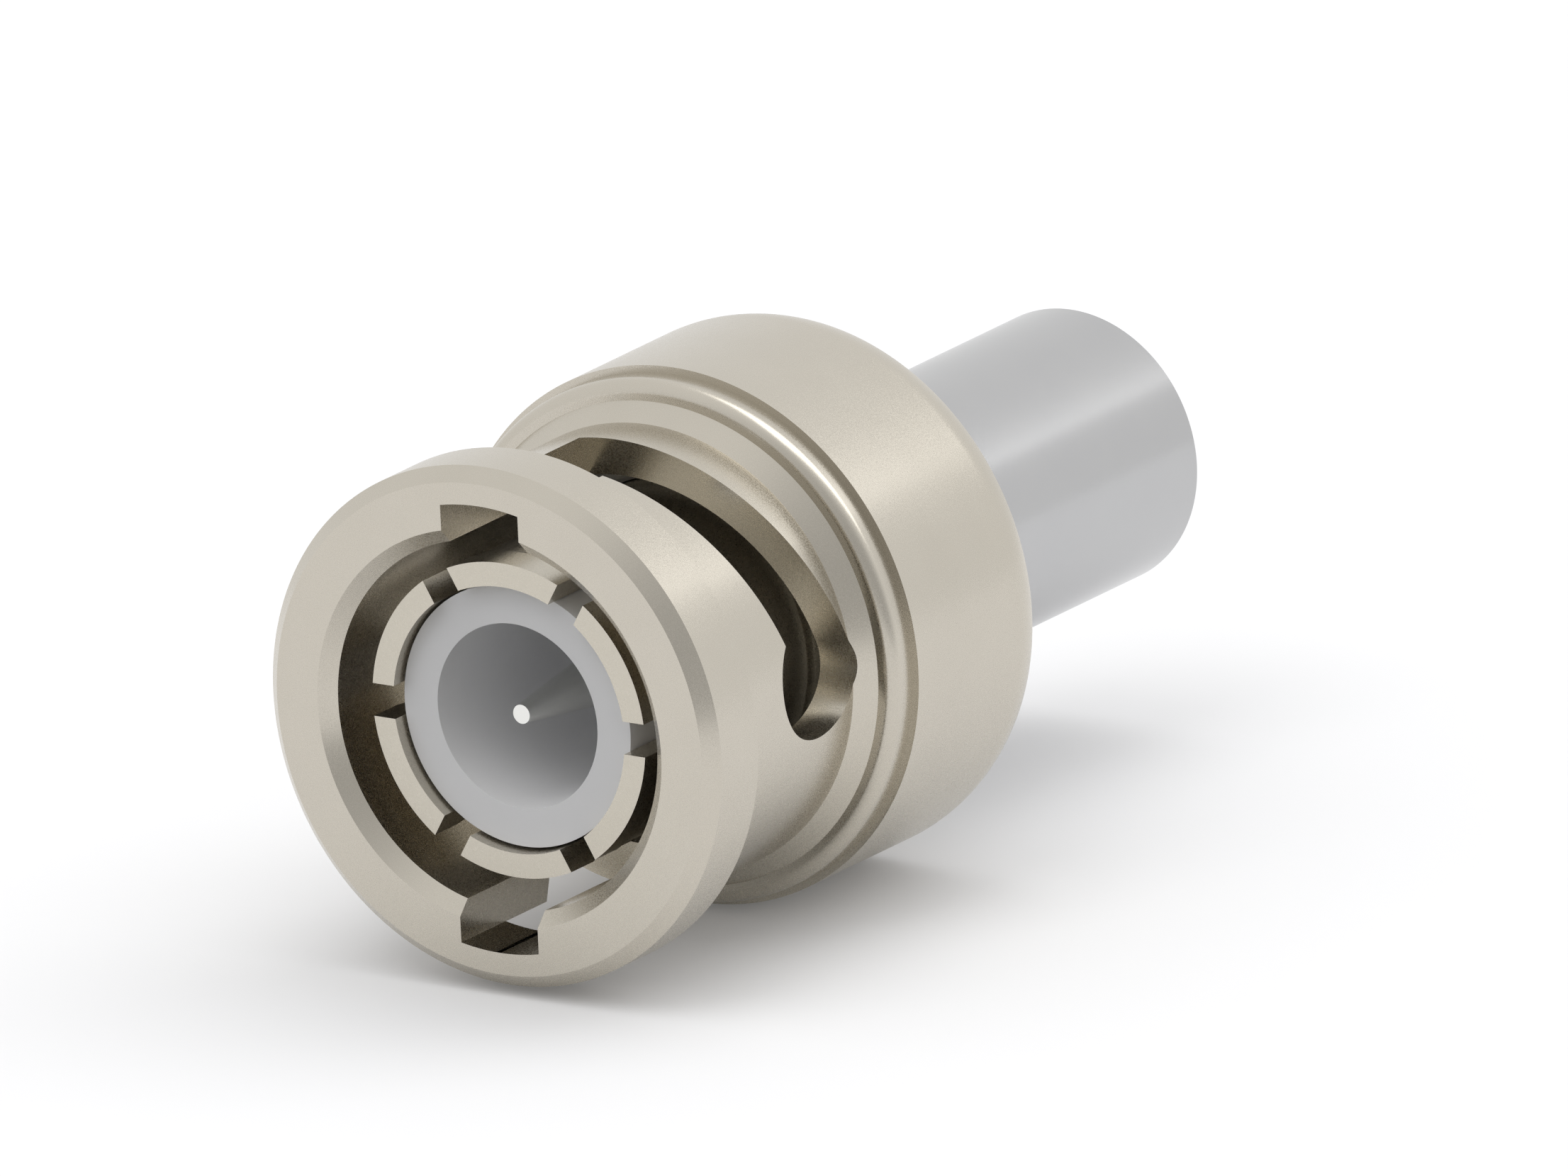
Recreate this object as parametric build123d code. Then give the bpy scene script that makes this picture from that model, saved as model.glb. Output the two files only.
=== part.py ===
"""Straight bayonet-lock coaxial cable plug with a crimp ferrule.

The origin is on the plug's axis in the plane of the nut's front face, where
the mating jack comes in. +Y runs along the axis towards the cable. Keyways
point along Z and the locking holes along X. Millimetres throughout.
"""

import os
from math import cos, pi, radians, sin

from build123d import *

# Overall
overall_length = 26.84      # nut's front face to the ferrule's rear end
fit_gap = 0.03              # radial gap of pieces that are seated in each other
running_gap = 0.10          # radial gap of pieces that turn or slide on each other
face_gap = 0.02             # axial gap between faces that slide on each other

# Mating end
contact_radius = 4.20       # outside of the spring fingers
mating_gap = 0.722          # room around the fingers for the mating shell
contact_front = 0.892       # finger tips behind the nut's front face
insulator_recess = 0.394    # insulator behind the finger tips
pin_recess = 0.176          # pin's tip behind the insulator's face
mating_depth = 6.314        # depth of the open bore around the pin

# Coupling nut, walls outwards from its bore
neck_wall = 1.054
rim_height = 0.944          # rim over the neck
cone_rise = 0.454           # cone over the neck
step_height = 0.17          # flat ring between the cone and the shoulder
bead_round = 0.355          # rounding of the shoulder in front of the sleeve
sleeve_rise = 0.19          # sleeve over the shoulder
sleeve_wall = 1.095

# Coupling nut, lengths
rim_length = 2.02
rim_chamfer = 0.37
mouth_chamfer = 0.38
cone_length = 0.475
bead_land = 0.432           # land between the rounding and the sleeve
front_wall = 1.70           # sleeve's front face to the body's flange
rear_lip = 0.565            # wall behind the retaining ring's groove
taper_length = 0.895        # taper at the sleeve's rear end
taper_drop = 0.172
mouth_break = 0.12          # edge break at the rear mouth

# Bayonet keyways, slots and locking holes
keyway_width = 2.388
keyway_depth = 1.048        # depth of the keyway under the rim
keyway_overrun = 0.03       # keyway's end behind the locking hole's centre
lock_hole_radius = 1.603
lock_hole_depth = 6.24      # hole centre behind the front face
lock_hole_rise = 0.407      # hole centre off the level plane, towards its keyway
cone_bite = 0.105           # how far the hole runs into the cone
slot_width = 2.363
slot_angle = 16.0           # climb of the slot, degrees

# Outer contact with its spring fingers
contact_wall = 0.644
contact_seat = 1.30         # depth of its seat in the body
finger_count = 6
finger_slot = 0.88
finger_length = 4.708
finger_bead = 1.00          # length of the raised band at the finger tips
finger_relief = 0.057       # depth of the relief behind that band
relief_run = 0.228          # length of the slopes at both ends of the relief
root_margin = 3.00          # relieved length behind the slots

# Insulators
insulator_gap = 0.073       # radial gap between fingers and insulator
insulator_wall = 1.02
shoulder_length = 1.30      # captive shoulder of the centre contact
split_offset = 0.60         # joint between the insulators behind the contact's seat
rear_insulator_length = 1.30

# Centre contact
pin_tip_radius = 0.255
pin_radius = 0.675
pin_cone = 3.23
wire_radius = 0.42
wire_depth = 2.40
barrel_wall = 0.53
shoulder_step = 0.15

# Face gasket
gasket_length = 1.90
gasket_play = 0.172         # radial gap between gasket and nut
gasket_lip = 0.13           # edge breaks at the gasket's front

# Plug body
flange_length = 0.80
hub_wall = 0.67
body_chamfer = 0.25

# Crimp stem
spigot_lip = 0.517          # spigot over the insulator that it holds in
spigot_length = 1.30
collar_step = 0.35          # collar below the body's hub
stem_collar_length = 0.40
pilot_length = 0.60         # short seat that centres the ferrule
stem_length = 6.20
stem_bore = 1.87
stem_wall = 0.48
knurl_count = 30
knurl_depth = 0.12
knurl_margin = 0.45         # plain length at each end of the knurled stem
stem_chamfer = 0.18

# Crimp ferrule
crimp_space = 0.85          # radial room for the braid and jacket
ferrule_wall = 0.455
ferrule_break = 0.08

# Spring pack between body and nut
thrust_washer = 0.20
pressure_washer = 0.25
washer_play = 0.05          # radial play of the washers on the body's hub
spring_height = 1.34
spring_strip = 0.28
spring_margin = 0.17        # washer that shows on each side of the strip
spring_waves = 3
spring_gap_angle = 6.0      # opening of the bent strip, degrees
ring_thickness = 0.50
ring_width = 0.75
ring_gap_angle = 32.0       # opening of the split ring, degrees
ring_gap_place = 45.0       # where that opening is, degrees from +X
groove_depth = 0.30
groove_play = 0.02

# Radii that follow from the sizes above
bore_radius = contact_radius + mating_gap
neck_radius = bore_radius + neck_wall
rim_radius = neck_radius + rim_height
cone_radius = neck_radius + cone_rise
bead_foot_radius = cone_radius + step_height
bead_radius = bead_foot_radius + bead_round
sleeve_radius = bead_radius + sleeve_rise
cavity_radius = sleeve_radius - sleeve_wall
groove_radius = cavity_radius + groove_depth
keyway_radius = bore_radius + keyway_depth
contact_bore = contact_radius - contact_wall
insulator_radius = contact_bore - insulator_gap
insulator_bore = insulator_radius - insulator_wall
barrel_radius = wire_radius + barrel_wall
shoulder_radius = barrel_radius + shoulder_step
flange_radius = cavity_radius - running_gap
hub_radius = contact_radius + fit_gap + hub_wall
washer_bore = hub_radius + washer_play
spigot_radius = insulator_radius + spigot_lip
stem_collar_radius = hub_radius - collar_step
stem_radius = stem_bore + stem_wall
ferrule_bore = stem_radius + crimp_space
ferrule_radius = ferrule_bore + ferrule_wall

# Distances from the front face that follow from the sizes above
insulator_front = contact_front + insulator_recess
pin_front = insulator_front + pin_recess
insulator_web = insulator_front + mating_depth
finger_slot_end = contact_front + finger_length
root_start = finger_slot_end + root_margin
keyway_end = lock_hole_depth + keyway_overrun
neck_end = lock_hole_depth + lock_hole_radius - cone_bite
cone_end = neck_end + cone_length
sleeve_start = cone_end + bead_round + bead_land
flange_front = sleeve_start + front_wall
flange_rear = flange_front + flange_length
cavity_start = flange_front - 2 * face_gap
contact_end = flange_front + contact_seat
insulator_split = contact_end + split_offset
shoulder_seat = insulator_split - shoulder_length
barrel_end = insulator_split + rear_insulator_length
body_end = barrel_end + spigot_length
collar_end = body_end + stem_collar_length
pilot_end = collar_end + pilot_length
stem_end = pilot_end + stem_length
spring_front = flange_rear + thrust_washer + face_gap
pressure_front = spring_front + spring_height + face_gap
ring_front = pressure_front + pressure_washer + face_gap
groove_front = ring_front - groove_play
groove_end = ring_front + ring_thickness + groove_play
sleeve_end = groove_end + rear_lip


def turned(profile: list) -> Part:
    """Solid of revolution about +Y from (radius, distance) corners."""
    face = make_face(Polyline(*profile, close=True))
    return revolve(face, Axis.Y, 360)


def tube(inner: float, outer: float, start: float, end: float) -> Part:
    """Plain ring between two radii and two distances from the front face."""
    return turned([(inner, start), (outer, start), (outer, end), (inner, end)])


def about_axis(shape: Part, angle: float) -> Part:
    """Copy of a shape turned about the plug's axis."""
    return Rot(0, angle, 0) * shape


# Coupling nut
def nut_blank() -> Part:
    """Turned blank: rim, neck, cone, rounded shoulder, sleeve and cavity."""
    outside = Polyline(
        (bore_radius + mouth_chamfer, 0),
        (rim_radius - rim_chamfer, 0),
        (rim_radius, rim_chamfer),
        (rim_radius, rim_length),
        (neck_radius, rim_length),
        (neck_radius, neck_end),
        (cone_radius, cone_end),
        (bead_foot_radius, cone_end),
    )
    bead = RadiusArc(
        (bead_foot_radius, cone_end), (bead_radius, cone_end + bead_round), -bead_round
    )
    grip = Polyline(
        (bead_radius, cone_end + bead_round),
        (bead_radius, sleeve_start),
        (sleeve_radius, sleeve_start),
        (sleeve_radius, sleeve_end - taper_length),
        (sleeve_radius - taper_drop, sleeve_end),
        (cavity_radius + mouth_break, sleeve_end),
        (cavity_radius, sleeve_end - mouth_break),
    )
    inside = Polyline(
        (cavity_radius, sleeve_end - mouth_break),
        (cavity_radius, groove_end),
        (groove_radius, groove_end),
        (groove_radius, groove_front),
        (cavity_radius, groove_front),
        (cavity_radius, cavity_start),
        (bore_radius, cavity_start),
        (bore_radius, mouth_chamfer),
        (bore_radius + mouth_chamfer, 0),
    )
    return revolve(make_face([outside, bead, grip, inside]), Axis.Y, 360)


def keyways() -> Part:
    """Two opposite keyways, closed under the rim and open through the neck."""
    across = Pos(0, keyway_end / 2, 0) * Box(keyway_width, keyway_end, 2 * rim_radius)
    closed = across & tube(0, keyway_radius, 0, keyway_end)
    window = across & tube(0, 2 * rim_radius, rim_length, keyway_end)
    return closed + window


def bayonet_slot() -> Part:
    """Climbing slot and round locking hole on the +X side.

    The slot's rear wall starts at the far side of the keyway.
    """
    hole_centre = (lock_hole_depth, lock_hole_rise)
    climb = radians(slot_angle)
    run = 2 * rim_radius
    middle = lock_hole_radius - slot_width / 2
    slot_centre = (
        hole_centre[0] + middle * cos(climb) - run / 2 * sin(climb),
        hole_centre[1] + middle * sin(climb) + run / 2 * cos(climb),
    )
    outline = Pos(*hole_centre) * Circle(lock_hole_radius)
    outline += Pos(*slot_centre) * Rot(0, 0, slot_angle) * Rectangle(slot_width, run)
    side = Plane.YZ.offset(-keyway_width / 2) * outline
    return extrude(side, keyway_width / 2 + rim_radius + 1, dir=(1, 0, 0))


def coupling_nut() -> Part:
    """Nut with its keyways, slots and locking holes."""
    slot = bayonet_slot()
    return nut_blank() - keyways() - slot - about_axis(slot, 180)


# Contacts and insulators
def outer_contact() -> Part:
    """Slotted spring sleeve that the mating shell slides over."""
    band_end = contact_front + finger_bead
    relieved = contact_radius - finger_relief
    sleeve = turned([
        (contact_bore, contact_front),
        (contact_radius, contact_front),
        (contact_radius, band_end),
        (relieved, band_end + relief_run),
        (relieved, root_start - relief_run),
        (contact_radius, root_start),
        (contact_radius, contact_end),
        (contact_bore, contact_end),
    ])
    cutter = Pos(contact_radius, contact_front + finger_length / 2, 0) * Box(
        contact_radius, finger_length, finger_slot
    )
    for index in range(finger_count):
        sleeve -= about_axis(cutter, index * 360 / finger_count)
    return sleeve


def front_insulator() -> Part:
    """Insulating sleeve: open bore around the pin, web and shoulder pocket."""
    pin_hole = pin_radius + fit_gap
    pocket = shoulder_radius + fit_gap
    return turned([
        (insulator_bore, insulator_front),
        (insulator_radius, insulator_front),
        (insulator_radius, insulator_split),
        (pocket, insulator_split),
        (pocket, shoulder_seat),
        (pin_hole, shoulder_seat),
        (pin_hole, insulator_web),
        (insulator_bore, insulator_web),
    ])


def rear_insulator() -> Part:
    """Insulating bush that keeps the contact from moving back."""
    return tube(barrel_radius + fit_gap, insulator_radius, insulator_split, barrel_end)


def centre_contact() -> Part:
    """Tapered pin, captive shoulder and rear barrel with the wire bore."""
    wire_end = barrel_end - wire_depth
    return turned([
        (0, pin_front),
        (pin_tip_radius, pin_front),
        (pin_radius, pin_front + pin_cone),
        (pin_radius, shoulder_seat),
        (shoulder_radius, shoulder_seat),
        (shoulder_radius, insulator_split),
        (barrel_radius, insulator_split),
        (barrel_radius, barrel_end),
        (wire_radius, barrel_end),
        (wire_radius, wire_end),
        (0, wire_end),
    ])


def face_gasket() -> Part:
    """Soft ring at the bottom of the mating gap, with broken front edges."""
    inner = contact_radius + fit_gap
    outer = bore_radius - gasket_play
    start = flange_front - gasket_length
    return turned([
        (inner, start + gasket_lip),
        (inner + gasket_lip, start),
        (outer - gasket_lip, start),
        (outer, start + gasket_lip),
        (outer, flange_front),
        (inner, flange_front),
    ])


# Body, stem and ferrule
def plug_body() -> Part:
    """Turned body: flange, hub and the seats for contact, insulators, stem."""
    contact_hole = contact_radius + fit_gap
    insulator_hole = insulator_radius + fit_gap
    spigot_hole = spigot_radius + fit_gap
    return turned([
        (contact_hole, flange_front),
        (flange_radius, flange_front),
        (flange_radius, flange_rear),
        (hub_radius, flange_rear),
        (hub_radius, body_end - body_chamfer),
        (hub_radius - body_chamfer, body_end),
        (spigot_hole, body_end),
        (spigot_hole, barrel_end),
        (insulator_hole, barrel_end),
        (insulator_hole, contact_end),
        (contact_hole, contact_end),
    ])


def crimp_stem() -> Part:
    """Hollow stem behind the body, straight-knurled for the cable braid."""
    pilot_radius = ferrule_bore - fit_gap
    stem = turned([
        (stem_bore, barrel_end),
        (spigot_radius, barrel_end),
        (spigot_radius, body_end),
        (stem_collar_radius, body_end),
        (stem_collar_radius, collar_end),
        (pilot_radius, collar_end),
        (pilot_radius, pilot_end),
        (stem_radius, pilot_end),
        (stem_radius, stem_end - stem_chamfer),
        (stem_radius - stem_chamfer, stem_end),
        (stem_bore, stem_end),
    ])
    start = pilot_end + knurl_margin
    length = stem_end - knurl_margin - start
    groove = Pos(stem_radius, start + length / 2, 0) * Rot(0, 45, 0) * Box(
        knurl_depth * 2**0.5, length, knurl_depth * 2**0.5
    )
    grooves = [about_axis(groove, i * 360 / knurl_count) for i in range(knurl_count)]
    return stem - grooves


def crimp_ferrule() -> Part:
    """Plain soft tube that is squeezed over braid and jacket."""
    return turned([
        (ferrule_bore, collar_end),
        (ferrule_radius, collar_end),
        (ferrule_radius, overall_length),
        (ferrule_bore + ferrule_break, overall_length),
        (ferrule_bore, overall_length - ferrule_break),
    ])


# Spring pack
def front_thrust_washer() -> Part:
    """Flat washer on the back of the body's flange."""
    return tube(washer_bore, flange_radius, flange_rear, flange_rear + thrust_washer)


def rear_thrust_washer() -> Part:
    """Flat washer that carries the spring's push to the split ring."""
    return tube(
        washer_bore, flange_radius, pressure_front, pressure_front + pressure_washer
    )


def wave_line(radius: float) -> Spline:
    """Waving line of the spring at one radius, open at its ends."""
    middle = spring_front + spring_height / 2
    swing = (spring_height - spring_strip) / 2
    opening = radians(spring_gap_angle)
    steps = 12 * spring_waves
    points = []
    for index in range(steps + 1):
        angle = opening / 2 + (2 * pi - opening) * index / steps
        rise = swing * cos(spring_waves * angle)
        points.append((radius * cos(angle), middle + rise, radius * sin(angle)))
    return Spline(*points)


def wave_spring() -> Part:
    """Waved strip, bent to an open ring and pressed between the two washers."""
    mean_radius = (washer_bore + flange_radius) / 2
    spring_width = flange_radius - washer_bore - 2 * spring_margin
    path = wave_line(mean_radius)
    start = path @ 0
    section = Plane(start, x_dir=(start.X, 0, start.Z), z_dir=path % 0)
    strip = sweep(
        section * Rectangle(spring_width, spring_strip),
        path=path,
        binormal=wave_line(mean_radius / 2),
    )
    return about_axis(strip, -90)


def retaining_ring() -> Part:
    """Split ring sprung into the nut's groove behind the washer."""
    outer = groove_radius - running_gap / 2
    ring = tube(outer - ring_width, outer, ring_front, ring_front + ring_thickness)
    half = ring_gap_angle / 2
    reach = 2 * outer
    wedge = make_face(Polyline(
        (0, 0),
        (reach * cos(radians(half)), reach * sin(radians(half))),
        (reach * cos(radians(half)), -reach * sin(radians(half))),
        close=True,
    ))
    cutter = extrude(Plane.XZ.offset(-sleeve_end) * wedge, sleeve_end)
    return ring - about_axis(cutter, ring_gap_place)


def main() -> None:
    """Build each piece and write its file."""
    os.makedirs("parts", exist_ok=True)
    pieces = {
        "coupling_nut": coupling_nut,
        "plug_body": plug_body,
        "crimp_stem": crimp_stem,
        "outer_contact": outer_contact,
        "front_insulator": front_insulator,
        "rear_insulator": rear_insulator,
        "centre_contact": centre_contact,
        "face_gasket": face_gasket,
        "front_thrust_washer": front_thrust_washer,
        "wave_spring": wave_spring,
        "rear_thrust_washer": rear_thrust_washer,
        "retaining_ring": retaining_ring,
        "crimp_ferrule": crimp_ferrule,
    }
    for name, build in pieces.items():
        export_step(build(), os.path.join("parts", name + ".step"))


main()
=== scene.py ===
"""Straight bayonet-lock coaxial cable plug in a soft white studio.

Every piece is modelled in millimetres in the frame of the part's source: the
origin is on the plug's axis in the plane of the nut's front face, +Y runs
towards the cable and +Z is up. A finished mesh is turned to metres once.
"""

import logging
import math
from dataclasses import dataclass
from enum import Enum

import bmesh
import bpy
from mathutils import Matrix, Vector

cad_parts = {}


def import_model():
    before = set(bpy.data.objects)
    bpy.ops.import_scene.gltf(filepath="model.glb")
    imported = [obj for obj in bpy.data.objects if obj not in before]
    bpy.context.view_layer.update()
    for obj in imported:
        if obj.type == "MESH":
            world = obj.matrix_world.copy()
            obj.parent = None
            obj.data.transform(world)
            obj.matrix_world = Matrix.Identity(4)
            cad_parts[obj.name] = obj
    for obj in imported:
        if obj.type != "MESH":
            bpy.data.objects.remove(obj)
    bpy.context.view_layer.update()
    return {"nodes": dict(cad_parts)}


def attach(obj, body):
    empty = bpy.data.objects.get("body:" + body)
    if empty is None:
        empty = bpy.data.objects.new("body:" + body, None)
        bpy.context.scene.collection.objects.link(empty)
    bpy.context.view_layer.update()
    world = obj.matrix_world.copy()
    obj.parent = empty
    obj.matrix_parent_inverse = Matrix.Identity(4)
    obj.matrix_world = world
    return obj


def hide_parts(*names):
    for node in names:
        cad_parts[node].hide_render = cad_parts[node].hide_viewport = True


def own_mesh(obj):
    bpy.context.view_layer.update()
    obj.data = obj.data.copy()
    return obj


LOG = logging.getLogger("plug")
MILLIMETRE = 0.001
# Divisions of a full turn.
ROUND_STEPS = 288
# Corners closer than this are one, in millimetres.
WELD = 1e-5
# How far a cutter reaches past the piece that it cuts, in millimetres.
CLEAR = 1.0
# Sharper edges stay crisp. A rounding's steps turn less than this.
CREASE = math.radians(4.5)
# A wave texture runs through 20 radians for each unit of length times scale.
WAVE_UNIT = 2 * math.pi / 20
# A Mix node has several sockets of each name, so they go by number.
MIX_FACTOR = 0
MIX_FIRST_VALUE = 2
MIX_SECOND_VALUE = 3
MIX_FIRST_COLOUR = 6
MIX_SECOND_COLOUR = 7
MIXED_VALUE = 0
MIXED_COLOUR = 2

# Corners as (radius, distance behind the front face), in millimetres.
Profile = list[tuple[float, float]]
Triple = tuple[float, float, float]
Point = Triple | Vector


class Body(Enum):
    """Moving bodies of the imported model."""

    PLUG = "plug"
    WASHER = "spring_washer"
    NUT = "nut"


class Slot(Enum):
    """Material slots of the record."""

    NUT = "nut_plating"
    BODY = "body_plating"
    CONTACT = "contact_plating"
    PIN = "pin_plating"
    FERRULE = "ferrule_plating"
    INSULATOR = "insulator"
    GASKET = "gasket"
    STEEL = "spring_steel"


# Colours and nodes
def linear(code: str) -> tuple[float, float, float, float]:
    """Turn an sRGB hex colour to linear light, by the curve of the sRGB standard.

    Args:
        code: six hex digits, with or without a leading #.

    Returns:
        Red, green, blue and an alpha of 1.
    """
    digits = code.lstrip("#")
    shares = [int(digits[i:i + 2], 16) / 255 for i in (0, 2, 4)]
    light = [s / 12.92 if s <= 0.04045 else ((s + 0.055) / 1.055) ** 2.4 for s in shares]
    return (light[0], light[1], light[2], 1.0)


def add_node(tree: bpy.types.NodeTree, kind: str, inputs: dict | None = None,
             **settings: object) -> bpy.types.Node:
    """Add a node with its settings, values and links.

    Args:
        tree: node tree that gets the node.
        kind: Blender's type name, such as ShaderNodeMath.
        inputs: value or source socket for each input, by name or number.
        **settings: the node's own properties.

    Returns:
        The new node.
    """
    node = tree.nodes.new(kind)
    for key, value in settings.items():
        setattr(node, key, value)
    for key, value in (inputs or {}).items():
        if isinstance(value, bpy.types.NodeSocket):
            tree.links.new(value, node.inputs[key])
        else:
            node.inputs[key].default_value = value
    return node


def fresh_material(name: str) -> tuple[bpy.types.Material, bpy.types.NodeTree]:
    """Make a material with an empty node tree.

    Args:
        name: name of the material.

    Returns:
        The material and its tree.
    """
    material = bpy.data.materials.new(name)
    material.use_nodes = True
    material.node_tree.nodes.clear()
    return material, material.node_tree


def cycles_per_metre(size_mm: float) -> float:
    """Texture scale that repeats a pattern every size_mm millimetres."""
    return 1 / (size_mm * MILLIMETRE)


# Finishes
@dataclass(frozen=True)
class Plating:
    """Plated turned metal with the fine matt grain of a barrel finish.

    The real grain is about 0.015 mm across, too fine to show, so it is drawn
    as coarse as about two pixels of the photograph's view.
    """

    name: str
    colour: str
    shade: str
    roughness: float
    roughness_swing: float
    grain_mm: float = 0.038
    grain_height_mm: float = 0.0016
    grain_strength: float = 0.26
    blotch_mm: float = 1.6

    def make(self) -> bpy.types.Material:
        """Build the node material.

        Returns:
            Metallic material with a slight cloudiness, varied gloss and grain.
        """
        material, tree = fresh_material(self.name)
        place = add_node(tree, "ShaderNodeTexCoord").outputs["Object"]
        cloud = add_node(tree, "ShaderNodeTexNoise", {
            "Vector": place,
            "Scale": cycles_per_metre(self.blotch_mm),
            "Detail": 3.0,
            "Roughness": 0.55,
        })
        tint = add_node(tree, "ShaderNodeMix", {
            MIX_FACTOR: cloud.outputs["Fac"],
            MIX_FIRST_COLOUR: linear(self.shade),
            MIX_SECOND_COLOUR: linear(self.colour),
        }, data_type="RGBA")
        grain = add_node(tree, "ShaderNodeTexNoise", {
            "Vector": place,
            "Scale": cycles_per_metre(self.grain_mm),
            "Detail": 2.0,
            "Roughness": 0.6,
        })
        gloss = add_node(tree, "ShaderNodeMapRange", {
            "Value": grain.outputs["Fac"],
            "From Min": 0.3,
            "From Max": 0.7,
            "To Min": self.roughness - self.roughness_swing,
            "To Max": self.roughness + self.roughness_swing,
        })
        relief = add_node(tree, "ShaderNodeBump", {
            "Strength": self.grain_strength,
            "Distance": self.grain_height_mm * MILLIMETRE,
            "Height": grain.outputs["Fac"],
        })
        surface = add_node(tree, "ShaderNodeBsdfPrincipled", {
            "Base Color": tint.outputs[MIXED_COLOUR],
            "Metallic": 1.0,
            "Roughness": gloss.outputs["Result"],
            "Normal": relief.outputs["Normal"],
        })
        add_node(tree, "ShaderNodeOutputMaterial", {"Surface": surface.outputs["BSDF"]})
        return material


@dataclass(frozen=True)
class TurnedPolymer:
    """White fluoropolymer with the faint rings of the turning tool."""

    name: str
    colour: str
    shade: str
    roughness: float
    blotch_mm: float = 1.2
    ring_mm: float = 0.09
    ring_height_mm: float = 0.0008
    ring_strength: float = 0.15
    glow_depth_mm: float = 0.4

    def make(self) -> bpy.types.Material:
        """Build the node material.

        Returns:
            Waxy white material with fine turning rings about the plug's axis.
        """
        material, tree = fresh_material(self.name)
        place = add_node(tree, "ShaderNodeTexCoord").outputs["Object"]
        cloud = add_node(tree, "ShaderNodeTexNoise", {
            "Vector": place,
            "Scale": cycles_per_metre(self.blotch_mm),
            "Detail": 2.0,
        })
        tint = add_node(tree, "ShaderNodeMix", {
            MIX_FACTOR: cloud.outputs["Fac"],
            MIX_FIRST_COLOUR: linear(self.shade),
            MIX_SECOND_COLOUR: linear(self.colour),
        }, data_type="RGBA")
        rings = add_node(tree, "ShaderNodeTexWave", {
            "Vector": place,
            "Scale": cycles_per_metre(self.ring_mm) * WAVE_UNIT,
            "Distortion": 0.4,
            "Detail": 1.0,
        }, wave_type="RINGS", rings_direction="Y")
        relief = add_node(tree, "ShaderNodeBump", {
            "Strength": self.ring_strength,
            "Distance": self.ring_height_mm * MILLIMETRE,
            "Height": rings.outputs["Fac"],
        })
        surface = add_node(tree, "ShaderNodeBsdfPrincipled", {
            "Base Color": tint.outputs[MIXED_COLOUR],
            "Roughness": self.roughness,
            "IOR": 1.38,
            "Subsurface Weight": 0.08,
            "Subsurface Radius": (self.glow_depth_mm,) * 3,
            "Subsurface Scale": MILLIMETRE,
            "Normal": relief.outputs["Normal"],
        })
        add_node(tree, "ShaderNodeOutputMaterial", {"Surface": surface.outputs["BSDF"]})
        return material


@dataclass(frozen=True)
class Rubber:
    """Moulded silicone rubber with a dull, slightly mottled skin."""

    name: str
    colour: str
    shade: str
    roughness: float = 0.62
    pore_mm: float = 0.12
    pore_height_mm: float = 0.004
    pore_strength: float = 0.3

    def make(self) -> bpy.types.Material:
        """Build the node material.

        Returns:
            Dull rubber with a fine pore.
        """
        material, tree = fresh_material(self.name)
        place = add_node(tree, "ShaderNodeTexCoord").outputs["Object"]
        pores = add_node(tree, "ShaderNodeTexNoise", {
            "Vector": place,
            "Scale": cycles_per_metre(self.pore_mm),
            "Detail": 3.0,
        })
        tint = add_node(tree, "ShaderNodeMix", {
            MIX_FACTOR: pores.outputs["Fac"],
            MIX_FIRST_COLOUR: linear(self.shade),
            MIX_SECOND_COLOUR: linear(self.colour),
        }, data_type="RGBA")
        relief = add_node(tree, "ShaderNodeBump", {
            "Strength": self.pore_strength,
            "Distance": self.pore_height_mm * MILLIMETRE,
            "Height": pores.outputs["Fac"],
        })
        surface = add_node(tree, "ShaderNodeBsdfPrincipled", {
            "Base Color": tint.outputs[MIXED_COLOUR],
            "Roughness": self.roughness,
            "IOR": 1.41,
            "Normal": relief.outputs["Normal"],
        })
        add_node(tree, "ShaderNodeOutputMaterial", {"Surface": surface.outputs["BSDF"]})
        return material


@dataclass(frozen=True)
class Finishes:
    """Materials of the plug, one for each slot."""

    table: dict[Slot, bpy.types.Material]

    @classmethod
    def mixed(cls) -> "Finishes":
        """Make every finish once.

        Returns:
            The finishes by slot.
        """
        # Nickel over tumbled brass: warm grey, satin, with grain in its highlights.
        nickel = Plating("barrel_finished_nickel", "#C9C3B7", "#C4BEB2", 0.27, 0.08)
        # The same plate on the body, a touch darker than on the nut.
        body = Plating("nickel_on_brass_body", "#C7C1B5", "#C2BCAF", 0.27, 0.07)
        # Plated spring alloy: the same warm grey, its reflections more blurred.
        contact = Plating("nickel_silver_contact", "#CAC4B7", "#C5BFB2", 0.31, 0.07)
        # Silver plate: the brightest and smoothest metal, nearly white at the tip.
        pin = Plating("silver_plated_pin", "#EAEAE6", "#E2E2DE", 0.16, 0.03,
                      grain_strength=0.2)
        # Drawn tube in bright nickel: neutral grey with long even streaks of light.
        ferrule = Plating("bright_nickel_tube", "#BDBDBD", "#B9B9BA", 0.22, 0.03,
                          grain_strength=0.25)
        # Machined fluoropolymer: matt white that shades softly down its bore.
        polymer = TurnedPolymer("white_fluoropolymer", "#EEEEEF", "#EAEAEB", 0.55)
        # Moulded silicone: dull off-white without a highlight.
        silicone = Rubber("clear_white_silicone", "#DAD8D2", "#CFCDC6")
        # Rolled spring steel: darker and greyer than the plated pieces.
        steel = Plating("spring_steel_strip", "#B4B1AB", "#A8A59F", 0.34, 0.06)
        return cls({
            Slot.NUT: nickel.make(),
            Slot.BODY: body.make(),
            Slot.CONTACT: contact.make(),
            Slot.PIN: pin.make(),
            Slot.FERRULE: ferrule.make(),
            Slot.INSULATOR: polymer.make(),
            Slot.GASKET: silicone.make(),
            Slot.STEEL: steel.make(),
        })


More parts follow.
